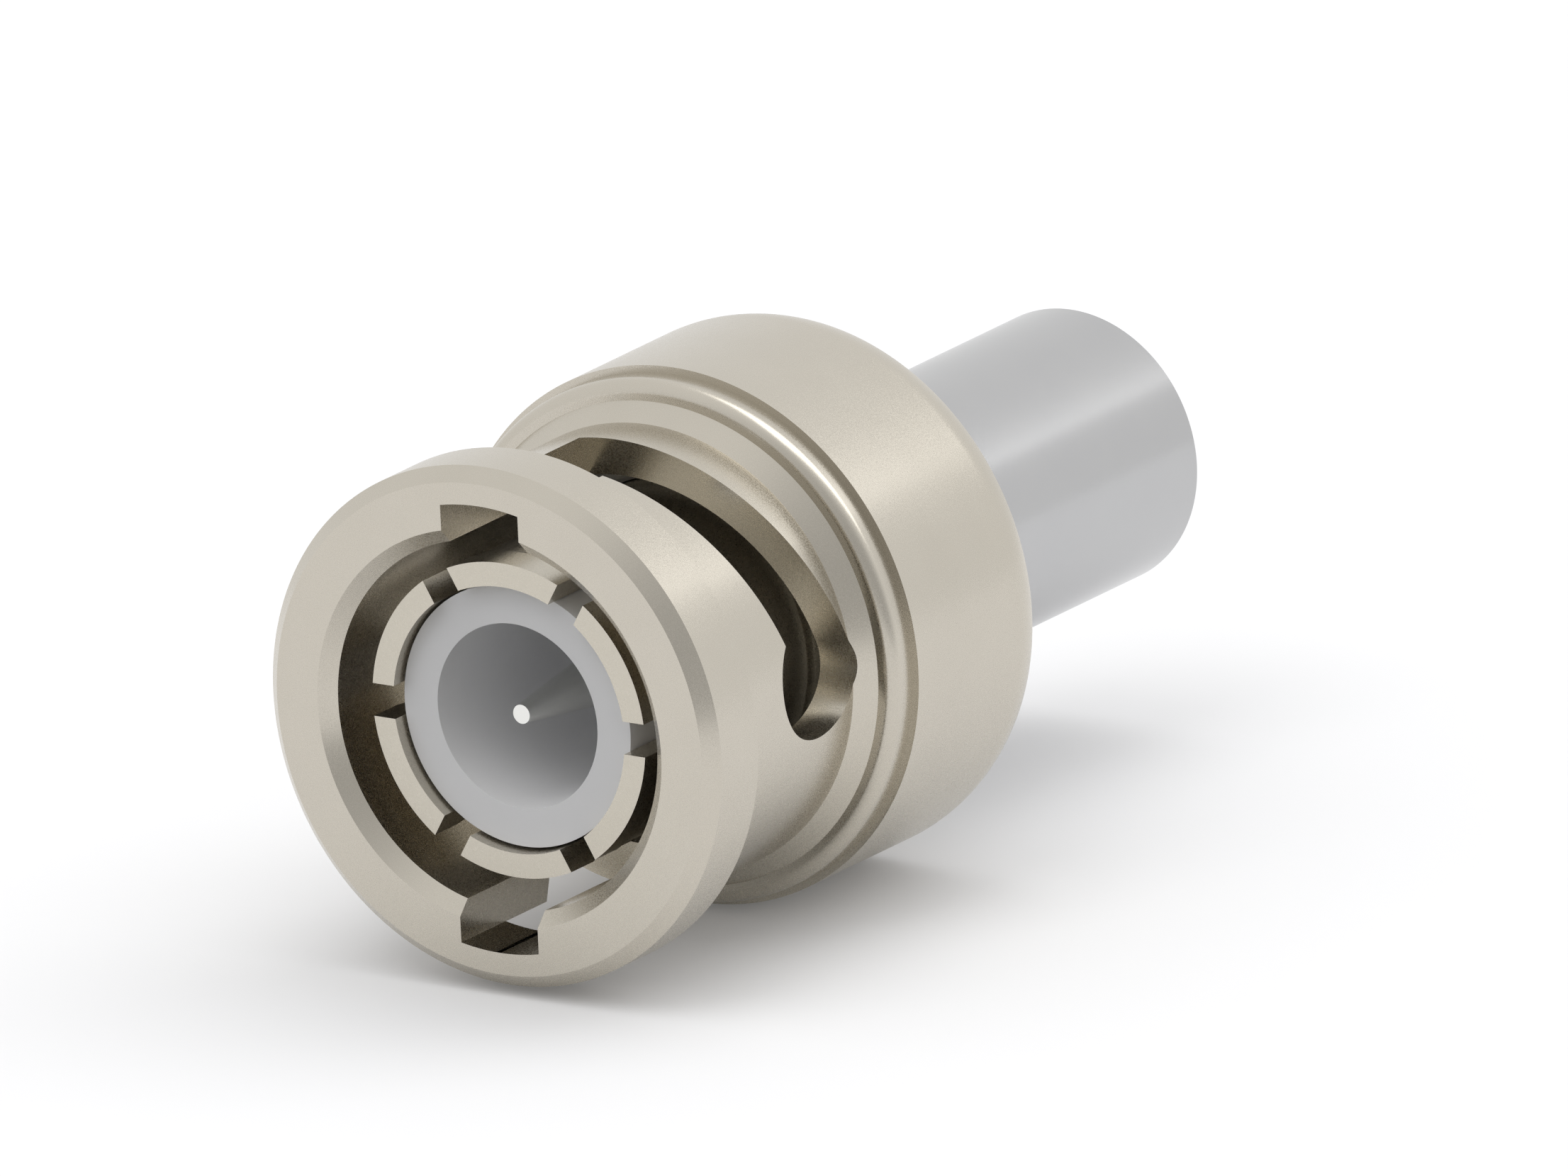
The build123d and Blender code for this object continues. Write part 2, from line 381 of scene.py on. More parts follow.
# Shaping
def rounding(centre: tuple[float, float], radius: float, start: float, end: float,
             steps: int) -> Profile:
    """Work out the corners of a rounded stretch of a profile.

    Args:
        centre: centre of the rounding, as (radius, distance behind the front face).
        radius: radius of the rounding.
        start: first angle in radians, from 0 straight away from the plug's axis.
        end: last angle in radians, a quarter turn being straight to the rear.
        steps: number of edges.

    Returns:
        The corners from start to end.
    """
    angles = [start + (end - start) * index / steps for index in range(steps + 1)]
    return [(centre[0] + radius * math.cos(angle), centre[1] + radius * math.sin(angle))
            for angle in angles]


def turned(profile: Profile, closed: bool = True, steps: int = ROUND_STEPS,
           angle: float = 2 * math.pi) -> bmesh.types.BMesh:
    """Spin a profile about the plug's axis.

    Args:
        profile: corners as (radius, distance behind the front face).
        closed: join the last corner to the first. An open profile ends on the axis.
        steps: divisions of the turn.
        angle: how far it turns, in radians from +X towards -Z.

    Returns:
        A closed mesh in millimetres.
    """
    shape = bmesh.new()
    corners = [shape.verts.new((radius, distance, 0)) for radius, distance in profile]
    follow = corners[1:] + corners[:1] if closed else corners[1:]
    sides = [shape.edges.new(pair) for pair in zip(corners, follow)]
    full = math.isclose(angle, 2 * math.pi)
    bmesh.ops.spin(shape, geom=corners + sides, cent=(0, 0, 0), axis=(0, 1, 0),
                   dvec=(0, 0, 0), angle=angle, steps=steps, use_merge=full)
    if not full:
        bmesh.ops.holes_fill(shape, edges=shape.edges, sides=len(profile))
    return cleaned(shape)


def cleaned(shape: bmesh.types.BMesh) -> bmesh.types.BMesh:
    """Merge doubles, drop degenerate bits and turn the faces outwards.

    Args:
        shape: mesh to clean.

    Returns:
        The same mesh.
    """
    bmesh.ops.remove_doubles(shape, verts=shape.verts, dist=WELD)
    bmesh.ops.dissolve_degenerate(shape, dist=WELD, edges=shape.edges)
    bmesh.ops.recalc_face_normals(shape, faces=shape.faces)
    return shape


def arc(shape: bmesh.types.BMesh, start: Point, centre: Point, axis: Triple,
        angle: float, steps: int) -> list[bmesh.types.BMVert]:
    """Draw an arc by spinning one vertex.

    Args:
        shape: mesh that gets the arc.
        start: first point.
        centre: point that the arc turns about.
        axis: direction that it turns about.
        angle: how far it turns, in radians.
        steps: number of edges.

    Returns:
        The arc's vertices in order.
    """
    before = len(shape.verts)
    first = shape.verts.new(start)
    bmesh.ops.spin(shape, geom=[first], cent=centre, axis=axis, dvec=(0, 0, 0),
                   angle=angle, steps=steps)
    shape.verts.ensure_lookup_table()
    return [shape.verts[i] for i in range(before, len(shape.verts))]


def prism(shape: bmesh.types.BMesh, outline: list[bmesh.types.BMVert],
          run: Triple) -> bmesh.types.BMesh:
    """Fill an outline and extrude it to a closed prism.

    Args:
        shape: mesh that holds the outline's vertices.
        outline: vertices in order.
        run: direction and length of the extrusion.

    Returns:
        The same mesh, closed.
    """
    face = shape.faces.new(outline)
    pushed = bmesh.ops.extrude_face_region(shape, geom=[face], use_keep_orig=True)
    moved = [g for g in pushed["geom"] if isinstance(g, bmesh.types.BMVert)]
    bmesh.ops.translate(shape, verts=moved, vec=run)
    return cleaned(shape)


def block(low: Triple, high: Triple) -> bmesh.types.BMesh:
    """Make a box between two corners.

    Args:
        low: lowest corner.
        high: highest corner.

    Returns:
        Closed box mesh.
    """
    shape = bmesh.new()
    size = Vector(high) - Vector(low)
    middle = (Vector(high) + Vector(low)) / 2
    matrix = Matrix.Translation(middle) @ Matrix.Diagonal((*size, 1))
    bmesh.ops.create_cube(shape, size=1, matrix=matrix)
    return shape


def swung(shape: bmesh.types.BMesh, angle: float) -> bmesh.types.BMesh:
    """Turn a shape about the plug's axis.

    Args:
        shape: mesh to turn.
        angle: turn in degrees, from +Z towards +X.

    Returns:
        The same mesh.
    """
    turn = Matrix.Rotation(math.radians(angle), 3, "Y")
    bmesh.ops.rotate(shape, verts=shape.verts, cent=(0, 0, 0), matrix=turn)
    return shape


def mesh_object(shape: bmesh.types.BMesh, name: str) -> bpy.types.Object:
    """Put a shape into a new object of the scene.

    Args:
        shape: mesh to use up.
        name: name of the object.

    Returns:
        The object.
    """
    mesh = bpy.data.meshes.new(name)
    shape.to_mesh(mesh)
    shape.free()
    item = bpy.data.objects.new(name, mesh)
    bpy.context.scene.collection.objects.link(item)
    return item


def hung(name: str, data: bpy.types.ID, place: Matrix) -> bpy.types.Object:
    """Hang a lamp or a camera in the scene.

    Args:
        name: name of the object.
        data: the lamp or camera.
        place: where it hangs and how it is turned, in metres.

    Returns:
        The object.
    """
    item = bpy.data.objects.new(name, data)
    item.matrix_world = place
    bpy.context.scene.collection.objects.link(item)
    return item


def milled(blank: bmesh.types.BMesh, cutters: list[bmesh.types.BMesh]) -> bmesh.types.BMesh:
    """Take cutters away from a blank, one after the other.

    Args:
        blank: closed mesh to cut.
        cutters: closed meshes to take away.

    Returns:
        The cut mesh.
    """
    work = mesh_object(blank, "blank")
    tools = [mesh_object(cutter, "cutter") for cutter in cutters]
    for tool in tools:
        step = work.modifiers.new("mill", "BOOLEAN")
        step.operation = "DIFFERENCE"
        step.solver = "EXACT"
        step.object = tool
    view = bpy.context.evaluated_depsgraph_get()
    shape = bmesh.new()
    shape.from_mesh(work.evaluated_get(view).to_mesh())
    for item in [work, *tools]:
        mesh = item.data
        bpy.data.objects.remove(item)
        bpy.data.meshes.remove(mesh)
    return cleaned(shape)


@dataclass(frozen=True)
class Label:
    """What a finished piece is called, rides on, is made of and stands for."""

    name: str
    body: Body
    slot: Slot
    nodes: tuple[str, ...]


def finished(shape: bmesh.types.BMesh, label: Label, finishes: Finishes) -> bpy.types.Object:
    """Turn a shape to metres, shade it, dress it and hang it on its body.

    Args:
        shape: closed mesh in millimetres.
        label: name, body, slot and nodes of the piece.
        finishes: materials by slot.

    Returns:
        The finished object.
    """
    item = mesh_object(shape, label.name)
    mesh = item.data
    mesh.transform(Matrix.Scale(MILLIMETRE, 4))
    mesh.shade_smooth()
    mesh.set_sharp_from_angle(angle=CREASE)
    mesh.materials.append(finishes.table[label.slot])
    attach(item, label.body.value)
    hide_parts(*label.nodes)
    LOG.info("%s: %d faces on %s", label.name, len(mesh.polygons), label.body.value)
    return item


# Coupling nut
@dataclass
class CouplingNut:
    """Turned nut with keyways, climbing slots and round locking holes.

    Sizes of what is round are radii here and in the classes that follow, and
    a place, start or end is a distance behind the nut's front face.
    """

    bore: float = 4.922
    mouth: float = 0.38
    rim: float = 6.920
    rim_end: float = 2.02
    rim_chamfer: float = 0.37
    neck: float = 5.976
    neck_end: float = 7.738
    cone: float = 6.430
    cone_end: float = 8.213
    bead_foot: float = 6.600
    bead: float = 6.955
    sleeve_start: float = 9.000
    sleeve: float = 7.145
    sleeve_end: float = 14.435
    rear_round: float = 1.90
    rear_round_start: float = 13.640
    mouth_break: float = 0.12
    cavity: float = 6.050
    cavity_start: float = 10.660
    groove: float = 6.350
    groove_start: float = 13.330
    groove_end: float = 13.870
    keyway_width: float = 2.388
    keyway: float = 5.970
    keyway_end: float = 6.270
    hole: float = 1.603
    hole_place: float = 6.240
    hole_rise: float = 0.407
    slot_width: float = 2.363
    slot_climb: float = 16.0
    bead_steps: int = 24
    rear_steps: int = 12
    hole_steps: int = 120
    keyway_steps: int = 16

    def blank(self) -> bmesh.types.BMesh:
        """Turn the blank: rim, neck, cone, rounded shoulder, sleeve and cavity.

        Returns:
            The blank, closed.
        """
        size = self.bead - self.bead_foot
        bead = rounding((self.bead_foot, self.cone_end + size), size, -math.pi / 2, 0,
                        self.bead_steps)
        turn = math.asin((self.sleeve_end - self.rear_round_start) / self.rear_round)
        rear = rounding((self.sleeve - self.rear_round, self.rear_round_start),
                        self.rear_round, 0, turn, self.rear_steps)
        return turned([
            (self.bore + self.mouth, 0),
            (self.rim - self.rim_chamfer, 0),
            (self.rim, self.rim_chamfer),
            (self.rim, self.rim_end),
            (self.neck, self.rim_end),
            (self.neck, self.neck_end),
            (self.cone, self.cone_end),
            *bead,
            (self.bead, self.sleeve_start),
            (self.sleeve, self.sleeve_start),
            *rear,
            (self.cavity + self.mouth_break, self.sleeve_end),
            (self.cavity, self.sleeve_end - self.mouth_break),
            (self.cavity, self.groove_end),
            (self.groove, self.groove_end),
            (self.groove, self.groove_start),
            (self.cavity, self.groove_start),
            (self.cavity, self.cavity_start),
            (self.bore, self.cavity_start),
            (self.bore, self.mouth),
        ])

    def keyway_cutters(self) -> list[bmesh.types.BMesh]:
        """Make the cutters of the keyways.

        Returns:
            The channel that stays closed under the rim, and the window behind it.
        """
        half = self.keyway_width / 2
        spread = math.asin(half / self.keyway)
        height = self.keyway * math.cos(spread)
        channel = bmesh.new()
        middle = (0, -CLEAR, 0)
        top = arc(channel, (half, -CLEAR, height), middle, (0, 1, 0), -2 * spread,
                  self.keyway_steps)
        bottom = arc(channel, (-half, -CLEAR, -height), middle, (0, 1, 0), -2 * spread,
                     self.keyway_steps)
        prism(channel, top + bottom, (0, self.keyway_end + CLEAR, 0))
        reach = self.rim + CLEAR
        window = block((-half, self.rim_end, -reach), (half, self.keyway_end, reach))
        return [channel, window]

    def slot_cutter(self) -> bmesh.types.BMesh:
        """Make the cutter of the climbing slot and its locking hole on the +X side.

        Returns:
            A closed cutter that starts at the far side of the keyway.
        """
        climb = math.radians(self.slot_climb)
        across = Vector((0, math.cos(climb), math.sin(climb)))
        along = Vector((0, -math.sin(climb), math.cos(climb)))
        side = self.keyway_width / 2
        centre = Vector((-side, self.hole_place, self.hole_rise))
        front = self.hole - self.slot_width
        turn = 2 * math.pi - math.acos(front / self.hole)
        cutter = bmesh.new()
        outline = arc(cutter, centre + self.hole * across, centre, (1, 0, 0), -turn,
                      self.hole_steps)
        run = 2 * self.rim * along
        outline.append(cutter.verts.new(outline[-1].co + run))
        outline.append(cutter.verts.new(outline[0].co + run))
        return prism(cutter, outline, (side + self.rim + CLEAR, 0, 0))

    def build(self, finishes: Finishes) -> bpy.types.Object:
        """Turn, mill and dress the nut.

        Args:
            finishes: materials by slot.

        Returns:
            The finished nut.
        """
        slot = self.slot_cutter()
        cutters = [*self.keyway_cutters(), slot, swung(slot.copy(), 180)]
        label = Label("bayonet_nut", Body.NUT, Slot.NUT, ("coupling_nut",))
        return finished(milled(self.blank(), cutters), label, finishes)


# Contacts and insulators
@dataclass
class ContactSet:
    """Slotted outer contact, its insulator, the tapered pin and the gasket."""

    contact: float = 4.200
    contact_bore: float = 3.556
    contact_front: float = 0.892
    contact_end: float = 12.000
    band: float = 1.00
    relief: float = 0.057
    relief_run: float = 0.228
    finger_length: float = 4.708
    finger_slot: float = 0.88
    finger_count: int = 6
    root_start: float = 8.600
    insulator: float = 3.483
    insulator_bore: float = 2.463
    insulator_front: float = 1.286
    insulator_web: float = 7.600
    insulator_end: float = 12.600
    pin_hole: float = 0.705
    pocket: float = 1.130
    pocket_start: float = 11.300
    pin_front: float = 1.462
    pin_tip: float = 0.255
    pin: float = 0.675
    pin_cone: float = 3.23
    shoulder: float = 1.100
    barrel: float = 0.950
    barrel_end: float = 13.900
    wire: float = 0.420
    wire_start: float = 11.500
    gasket_bore: float = 4.230
    gasket: float = 4.750
    gasket_start: float = 8.800
    gasket_end: float = 10.700
    gasket_lip: float = 0.13
    pin_steps: int = 96

    def outer_contact(self, finishes: Finishes) -> bpy.types.Object:
        """Turn the spring sleeve and slot it into six fingers.

        Args:
            finishes: materials by slot.

        Returns:
            The finished outer contact.
        """
        band_end = self.contact_front + self.band
        relieved = self.contact - self.relief
        blank = turned([
            (self.contact_bore, self.contact_front),
            (self.contact, self.contact_front),
            (self.contact, band_end),
            (relieved, band_end + self.relief_run),
            (relieved, self.root_start - self.relief_run),
            (self.contact, self.root_start),
            (self.contact, self.contact_end),
            (self.contact_bore, self.contact_end),
        ])
        half = self.finger_slot / 2
        slot_end = self.contact_front + self.finger_length
        saw = block((self.contact_bore - CLEAR, -CLEAR, -half),
                    (self.contact + CLEAR, slot_end, half))
        step = 360 / self.finger_count
        saws = [swung(saw.copy(), step * index) for index in range(self.finger_count)]
        saw.free()
        label = Label("six_finger_contact", Body.PLUG, Slot.CONTACT, ("outer_contact",))
        return finished(milled(blank, saws), label, finishes)

    def front_insulator(self, finishes: Finishes) -> bpy.types.Object:
        """Turn the insulating sleeve with its open bore around the pin.

        Args:
            finishes: materials by slot.

        Returns:
            The finished front insulator.
        """
        shape = turned([
            (self.insulator_bore, self.insulator_front),
            (self.insulator, self.insulator_front),
            (self.insulator, self.insulator_end),
            (self.pocket, self.insulator_end),
            (self.pocket, self.pocket_start),
            (self.pin_hole, self.pocket_start),
            (self.pin_hole, self.insulator_web),
            (self.insulator_bore, self.insulator_web),
        ])
        label = Label("insulating_sleeve", Body.PLUG, Slot.INSULATOR, ("front_insulator",))
        return finished(shape, label, finishes)

    def centre_contact(self, finishes: Finishes) -> bpy.types.Object:
        """Turn the tapered pin with its shoulder and wire barrel.

        Args:
            finishes: materials by slot.

        Returns:
            The finished centre contact.
        """
        shape = turned([
            (0, self.pin_front),
            (self.pin_tip, self.pin_front),
            (self.pin, self.pin_front + self.pin_cone),
            (self.pin, self.pocket_start),
            (self.shoulder, self.pocket_start),
            (self.shoulder, self.insulator_end),
            (self.barrel, self.insulator_end),
            (self.barrel, self.barrel_end),
            (self.wire, self.barrel_end),
            (self.wire, self.wire_start),
            (0, self.wire_start),
        ], closed=False, steps=self.pin_steps)
        label = Label("tapered_pin", Body.PLUG, Slot.PIN, ("centre_contact",))
        return finished(shape, label, finishes)

    def face_gasket(self, finishes: Finishes) -> bpy.types.Object:
        """Turn the soft ring at the bottom of the mating gap.

        Args:
            finishes: materials by slot.

        Returns:
            The finished gasket.
        """
        shape = turned([
            (self.gasket_bore, self.gasket_start + self.gasket_lip),
            (self.gasket_bore + self.gasket_lip, self.gasket_start),
            (self.gasket - self.gasket_lip, self.gasket_start),
            (self.gasket, self.gasket_start + self.gasket_lip),
            (self.gasket, self.gasket_end),
            (self.gasket_bore, self.gasket_end),
        ])
        label = Label("sealing_ring", Body.PLUG, Slot.GASKET, ("face_gasket",))
        return finished(shape, label, finishes)

    def build(self, finishes: Finishes) -> None:
        """Build every piece of the mating end.

        Args:
            finishes: materials by slot.
        """
        self.outer_contact(finishes)
        self.front_insulator(finishes)
        self.centre_contact(finishes)
        self.face_gasket(finishes)


# Body and cable end
@dataclass
class CableEnd:
    """Plug body behind the nut and the plain crimp ferrule."""

    contact_hole: float = 4.230
    insulator_hole: float = 3.513
    spigot_hole: float = 4.030
    flange: float = 5.950
    flange_start: float = 10.700
    flange_end: float = 11.500
    hub: float = 4.900
    hub_end: float = 15.200
    hub_chamfer: float = 0.25
    contact_end: float = 12.000
    insulator_end: float = 13.900
    ferrule: float = 3.655
    ferrule_bore: float = 3.200
    ferrule_start: float = 15.600
    ferrule_end: float = 26.840
    ferrule_break: float = 0.08

    def plug_body(self, finishes: Finishes) -> bpy.types.Object:
        """Turn the body: flange, hub and the seats inside it.

        Args:
            finishes: materials by slot.

        Returns:
            The finished body.
        """
        shape = turned([
            (self.contact_hole, self.flange_start),
            (self.flange, self.flange_start),
            (self.flange, self.flange_end),
            (self.hub, self.flange_end),
            (self.hub, self.hub_end - self.hub_chamfer),
            (self.hub - self.hub_chamfer, self.hub_end),
            (self.spigot_hole, self.hub_end),
            (self.spigot_hole, self.insulator_end),
            (self.insulator_hole, self.insulator_end),
            (self.insulator_hole, self.contact_end),
            (self.contact_hole, self.contact_end),
        ])
        label = Label("turned_body", Body.PLUG, Slot.BODY, ("plug_body",))
        return finished(shape, label, finishes)

    def crimp_ferrule(self, finishes: Finishes) -> bpy.types.Object:
        """Turn the plain tube with its broken inner edge.

        Args:
            finishes: materials by slot.

        Returns:
            The finished ferrule.
        """
        shape = turned([
            (self.ferrule_bore, self.ferrule_start),
            (self.ferrule, self.ferrule_start),
            (self.ferrule, self.ferrule_end),
            (self.ferrule_bore + self.ferrule_break, self.ferrule_end),
            (self.ferrule_bore, self.ferrule_end - self.ferrule_break),
        ])
        label = Label("crimp_tube", Body.PLUG, Slot.FERRULE, ("crimp_ferrule",))
        return finished(shape, label, finishes)

    def build(self, finishes: Finishes) -> None:
        """Build the body and the ferrule."""
        self.plug_body(finishes)
        self.crimp_ferrule(finishes)


# Spring pack
@dataclass
class SpringPack:
    """Rear washer, waved strip and split ring that hold the nut on the body."""

    washer_bore: float = 4.950
    washer: float = 5.950
    rear_start: float = 13.080
    rear_end: float = 13.330
    ring_bore: float = 5.550
    ring: float = 6.300
    ring_start: float = 13.350
    ring_end: float = 13.850
    ring_gap: float = 32.0
    ring_gap_place: float = 45.0
    spring_bore: float = 5.120
    spring: float = 5.780
    spring_start: float = 11.720
    spring_height: float = 1.34
    spring_strip: float = 0.28
    spring_waves: int = 3
    spring_gap: float = 6.0
    spring_turn: float = -90.0
    squeeze: float = 0.328

    def open_ring(self, profile: Profile, gap: float, place: float) -> bmesh.types.BMesh:
        """Turn a ring with an opening.

        Args:
            profile: section of the ring.
            gap: opening in degrees.
            place: where the opening is, in degrees about the axis.

        Returns:
            The open ring.
        """
        return swung(turned(profile, angle=math.radians(360 - gap)), gap / 2 + place)

    def rear_washer(self, finishes: Finishes) -> bpy.types.Object:
        """Turn the flat washer behind the spring.

        Args:
            finishes: materials by slot.

        Returns:
            The finished washer.
        """
        shape = turned([
            (self.washer_bore, self.rear_start),
            (self.washer, self.rear_start),
            (self.washer, self.rear_end),
            (self.washer_bore, self.rear_end),
        ])
        label = Label("pressure_washer", Body.WASHER, Slot.STEEL, ("rear_thrust_washer",))
        return finished(shape, label, finishes)

    def split_ring(self, finishes: Finishes) -> bpy.types.Object:
        """Bend the split ring that sits in the nut's groove.

        Args:
            finishes: materials by slot.

        Returns:
            The finished ring.
        """
        shape = self.open_ring([
            (self.ring_bore, self.ring_start),
            (self.ring, self.ring_start),
            (self.ring, self.ring_end),
            (self.ring_bore, self.ring_end),
        ], self.ring_gap, self.ring_gap_place)
        label = Label("split_ring", Body.NUT, Slot.STEEL, ("retaining_ring",))
        return finished(shape, label, finishes)

    def waved_strip(self, finishes: Finishes) -> bpy.types.Object:
        """Bend the waved spring strip in its free shape; the real one flattens as the nut is
        pushed.

        Args:
            finishes: materials by slot.

        Returns:
            The finished spring.
        """
        swing = (self.spring_height - self.spring_strip) / 2
        low = self.spring_start + swing
        shape = self.open_ring([
            (self.spring_bore, low),
            (self.spring, low),
            (self.spring, low + self.spring_strip),
            (self.spring_bore, low + self.spring_strip),
        ], self.spring_gap, 0)
        for corner in shape.verts:
            angle = math.atan2(corner.co.z, corner.co.x)
            corner.co.y += swing * math.cos(self.spring_waves * angle)
        label = Label("waved_spring", Body.PLUG, Slot.STEEL, ("wave_spring",))
        item = finished(swung(shape, self.spring_turn), label, finishes)
        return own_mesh(item)

    def build(self, finishes: Finishes) -> None:
        """Build the pieces of the spring pack.

        Args:
            finishes: materials by slot.
        """
        self.rear_washer(finishes)
        self.split_ring(finishes)
        self.waved_strip(finishes)


# Studio
@dataclass
class Studio:
    """Pale floor, soft dome, overhead softbox, front fill and the photograph's camera.

    Lengths are in millimetres, turns in degrees and powers in watts.
    """

    floor_level: float = -CouplingNut.sleeve
    floor_half: float = 90.0
    floor_colour: str = "#DDDDDE"
    floor_bounce: str = "#6A6A6A"
    floor_lift: float = 0.08
    dome_colour: str = "#FFFFFF"
    dome_level: float = 0.94
    backdrop_level: float = 1.0
    shade_towards: Triple = (0.667, -0.741, -0.087)
    shade_depth: float = 0.40
    shade_core: float = 20.0
    shade_edge: float = 78.0
    softbox_place: Triple = (1220.0, 1320.0, 2000.0)
    softbox_size: tuple[float, float] = (3840.0, 1540.0)
    softbox_turn: float = 46.0
    softbox_power: float = 30.0
    fill_place: Triple = (-120.0, -456.0, 1104.0)
    fill_size: float = 700.0
    fill_power: float = 2.5
    camera_right: Triple = (0.8270, 0.5602, -0.0470)
    camera_up: Triple = (-0.1283, 0.2694, 0.9544)
    camera_back: Triple = (0.5474, -0.7833, 0.2947)
    camera_target: Triple = (0.0, 13.42, 0.0)
    camera_distance: float = 250.0
    camera_nearest: float = 1.0
    camera_farthest: float = 5000.0
    view_width: float = 40.02
    mirror_bounces: int = 16

    def floor(self) -> bpy.types.Object:
        """Lay the floor that keeps the plug's soft shadow.

        Returns:
            The floor object.
        """
        shape = bmesh.new()
        bmesh.ops.create_grid(shape, x_segments=1, y_segments=1, size=self.floor_half)
        bmesh.ops.translate(shape, verts=shape.verts, vec=(0, 0, self.floor_level))
        item = mesh_object(shape, "studio_floor")
        item.data.transform(Matrix.Scale(MILLIMETRE, 4))
        item.data.materials.append(self.floor_paper())
        return item

    def floor_paper(self) -> bpy.types.Material:
        """Mix the matt pale paper, lifted a little where it is seen or mirrored.

        Returns:
            Paper that throws little light back up, so that faces shade downwards.
        """
        material, tree = fresh_material("matt_white_paper")
        path = add_node(tree, "ShaderNodeLightPath")
        tone = add_node(tree, "ShaderNodeMix", {
            MIX_FACTOR: path.outputs["Is Diffuse Ray"],
            MIX_FIRST_COLOUR: linear(self.floor_colour),
            MIX_SECOND_COLOUR: linear(self.floor_bounce),
        }, data_type="RGBA")
        paper = add_node(tree, "ShaderNodeBsdfDiffuse", {
            "Color": tone.outputs[MIXED_COLOUR],
        })
        seen = add_node(tree, "ShaderNodeMath", {
            0: path.outputs["Is Camera Ray"],
            1: path.outputs["Is Glossy Ray"],
        }, operation="MAXIMUM")
        lift = add_node(tree, "ShaderNodeMath", {0: seen.outputs[0], 1: self.floor_lift},
                        operation="MULTIPLY")
        glow = add_node(tree, "ShaderNodeEmission", {"Strength": lift.outputs[0]})
        both = add_node(tree, "ShaderNodeAddShader", {
            0: paper.outputs["BSDF"],
            1: glow.outputs["Emission"],
        })
        add_node(tree, "ShaderNodeOutputMaterial", {"Surface": both.outputs["Shader"]})
        return material

    def dome(self) -> None:
        """Hang the even white dome, shaded towards the front right.

        Only its light is shaded: the camera sees it plain white.
        """
        world = bpy.data.worlds.new("soft_white_dome")
        world.use_nodes = True
        tree = world.node_tree
        tree.nodes.clear()
        place = add_node(tree, "ShaderNodeTexCoord").outputs["Generated"]
        towards = Vector(self.shade_towards).normalized()
        facing = add_node(tree, "ShaderNodeVectorMath", {0: place, 1: towards},
                          operation="DOT_PRODUCT")
        level = add_node(tree, "ShaderNodeMapRange", {
            "Value": facing.outputs["Value"],
            "From Min": math.cos(math.radians(self.shade_edge)),
            "From Max": math.cos(math.radians(self.shade_core)),
            "To Min": self.dome_level,
            "To Max": self.dome_level - self.shade_depth,
        }, interpolation_type="SMOOTHSTEP")
        path = add_node(tree, "ShaderNodeLightPath")
        strength = add_node(tree, "ShaderNodeMix", {
            MIX_FACTOR: path.outputs["Is Camera Ray"],
            MIX_FIRST_VALUE: level.outputs["Result"],
            MIX_SECOND_VALUE: self.backdrop_level,
        })
        sky = add_node(tree, "ShaderNodeBackground", {
            "Color": linear(self.dome_colour),
            "Strength": strength.outputs[MIXED_VALUE],
        })
        add_node(tree, "ShaderNodeOutputWorld", {"Surface": sky.outputs["Background"]})
        bpy.context.scene.world = world

    def softbox(self) -> bpy.types.Object:
        """Hang the long softbox overhead, behind the plug and to its right.

        Returns:
            The area lamp, facing straight down.
        """
        data = bpy.data.lights.new("overhead_softbox", "AREA")
        data.shape = "RECTANGLE"
        data.size = self.softbox_size[0] * MILLIMETRE
        data.size_y = self.softbox_size[1] * MILLIMETRE
        data.energy = self.softbox_power
        spot = Matrix.Translation(Vector(self.softbox_place) * MILLIMETRE)
        turn = Matrix.Rotation(math.radians(self.softbox_turn), 4, "Z")
        return hung("overhead_softbox", data, spot @ turn)

    def front_fill(self) -> bpy.types.Object:
        """Hang the soft fill high in front, for matt faces and the floor's shadow only.

        Returns:
            The area lamp, turned to the plug and not mirrored in metal.
        """
        data = bpy.data.lights.new("front_fill", "AREA")
        data.shape = "SQUARE"
        data.size = self.fill_size * MILLIMETRE
        data.energy = self.fill_power
        spot = Vector(self.fill_place) * MILLIMETRE
        aim = spot.to_track_quat("Z", "Y").to_matrix().to_4x4()
        item = hung("front_fill", data, Matrix.Translation(spot) @ aim)
        item.visible_glossy = False
        return item

    def camera(self) -> bpy.types.Object:
        """Set up the parallel-projection camera of the photograph.

        Returns:
            The camera, made the scene's own.
        """
        data = bpy.data.cameras.new("studio_camera")
        data.type = "ORTHO"
        data.ortho_scale = self.view_width * MILLIMETRE
        data.clip_start = self.camera_nearest * MILLIMETRE
        data.clip_end = self.camera_farthest * MILLIMETRE
        turn = Matrix((self.camera_right, self.camera_up, self.camera_back)).transposed()
        back = Vector(self.camera_back).normalized()
        spot = (Vector(self.camera_target) + back * self.camera_distance) * MILLIMETRE
        item = hung("studio_camera", data, Matrix.Translation(spot) @ turn.to_4x4())
        bpy.context.scene.camera = item
        return item

    def build(self) -> None:
        """Set the floor, the light, the camera and the plain view transform.

        Light is followed through many bounces, because with few the deep slots
        of the metal pieces turn black instead of brown.
        """
        self.floor()
        self.dome()
        self.softbox()
        self.front_fill()
        self.camera()
        bpy.context.scene.view_settings.view_transform = "Standard"
        bpy.context.scene.cycles.max_bounces = self.mirror_bounces
        bpy.context.scene.cycles.glossy_bounces = self.mirror_bounces


def dress_kept_nodes(frame: dict, finishes: Finishes) -> None:
    """Give the hidden CAD nodes that stay their real finishes.

    Args:
        finishes: materials by slot.
    """
    kept = {
        "crimp_stem": Slot.BODY,
        "rear_insulator": Slot.INSULATOR,
        "front_thrust_washer": Slot.STEEL,
    }
    for name, slot in kept.items():
        item = frame["nodes"][name]
        for place in item.material_slots:
            place.material = finishes.table[slot]
        LOG.info("%s: kept from the frame", name)


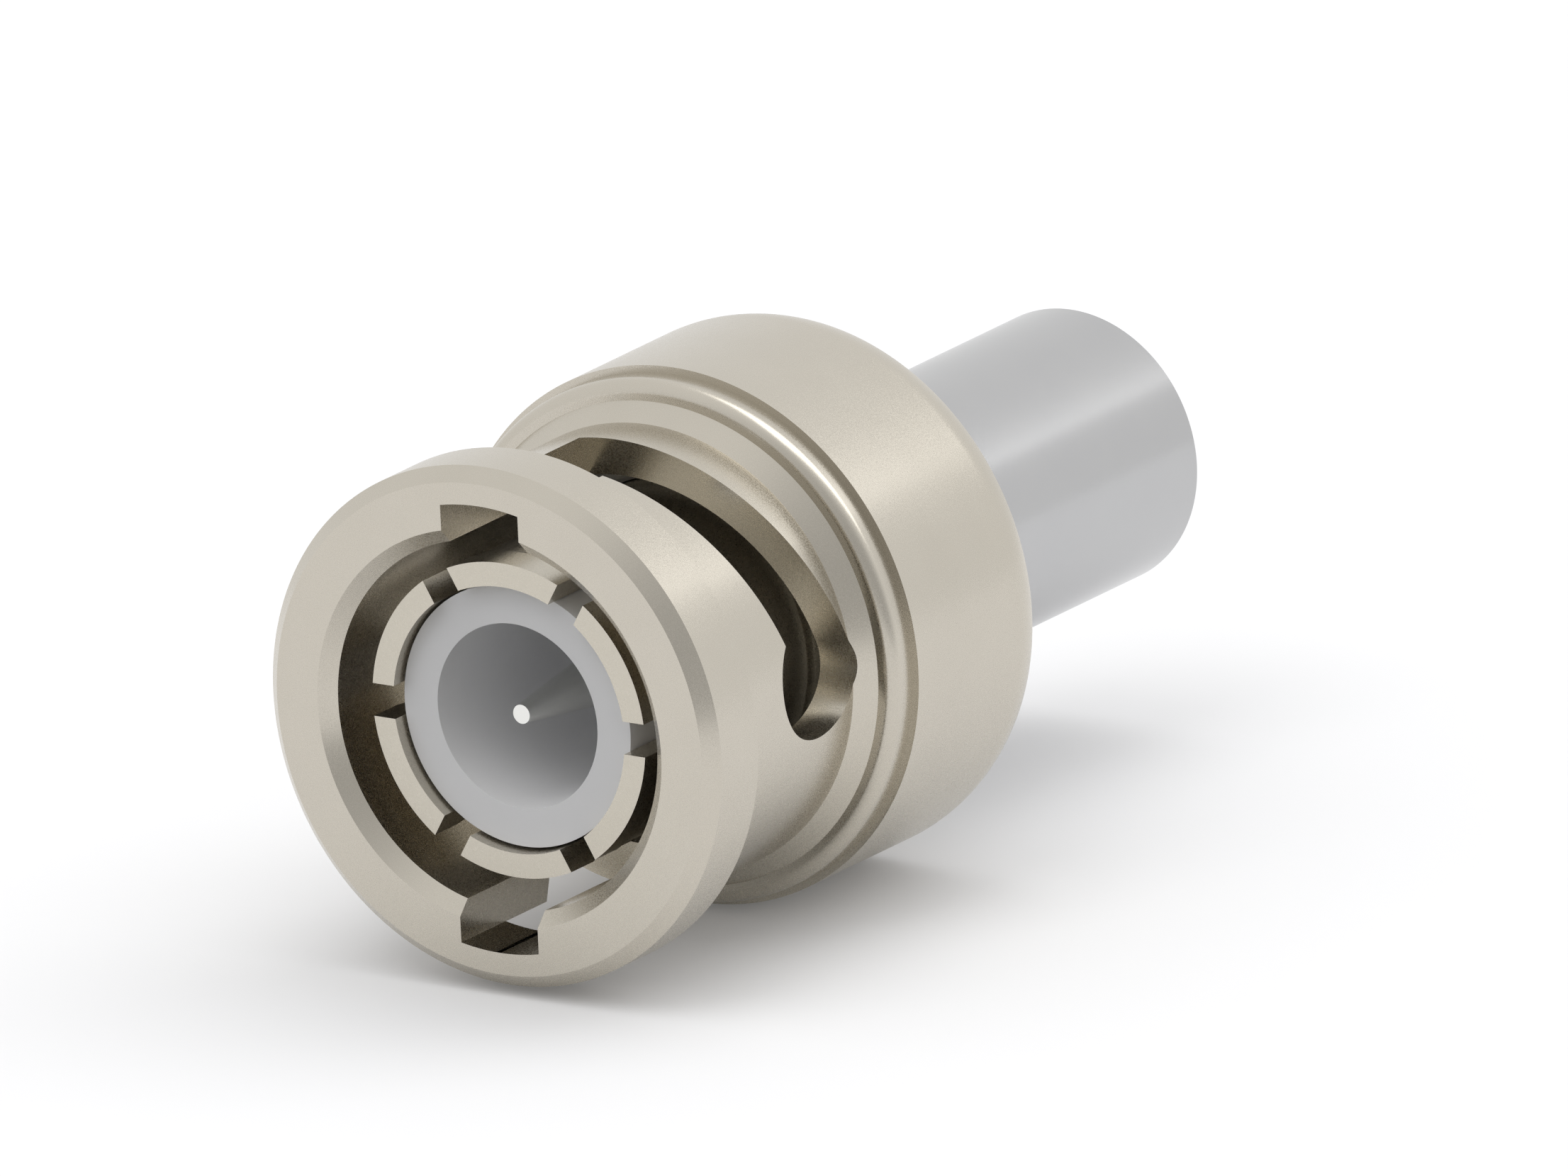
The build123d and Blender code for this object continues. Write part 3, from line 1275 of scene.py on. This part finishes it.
def main() -> None:
    """Load the frame, build and dress every piece, and set the studio."""
    logging.basicConfig(level=logging.INFO, format="%(message)s")
    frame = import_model()
    Studio().build()
    finishes = Finishes.mixed()
    CouplingNut().build(finishes)
    ContactSet().build(finishes)
    CableEnd().build(finishes)
    SpringPack().build(finishes)
    dress_kept_nodes(frame, finishes)
    bpy.context.view_layer.update()


if __name__ == "__main__":
    main()
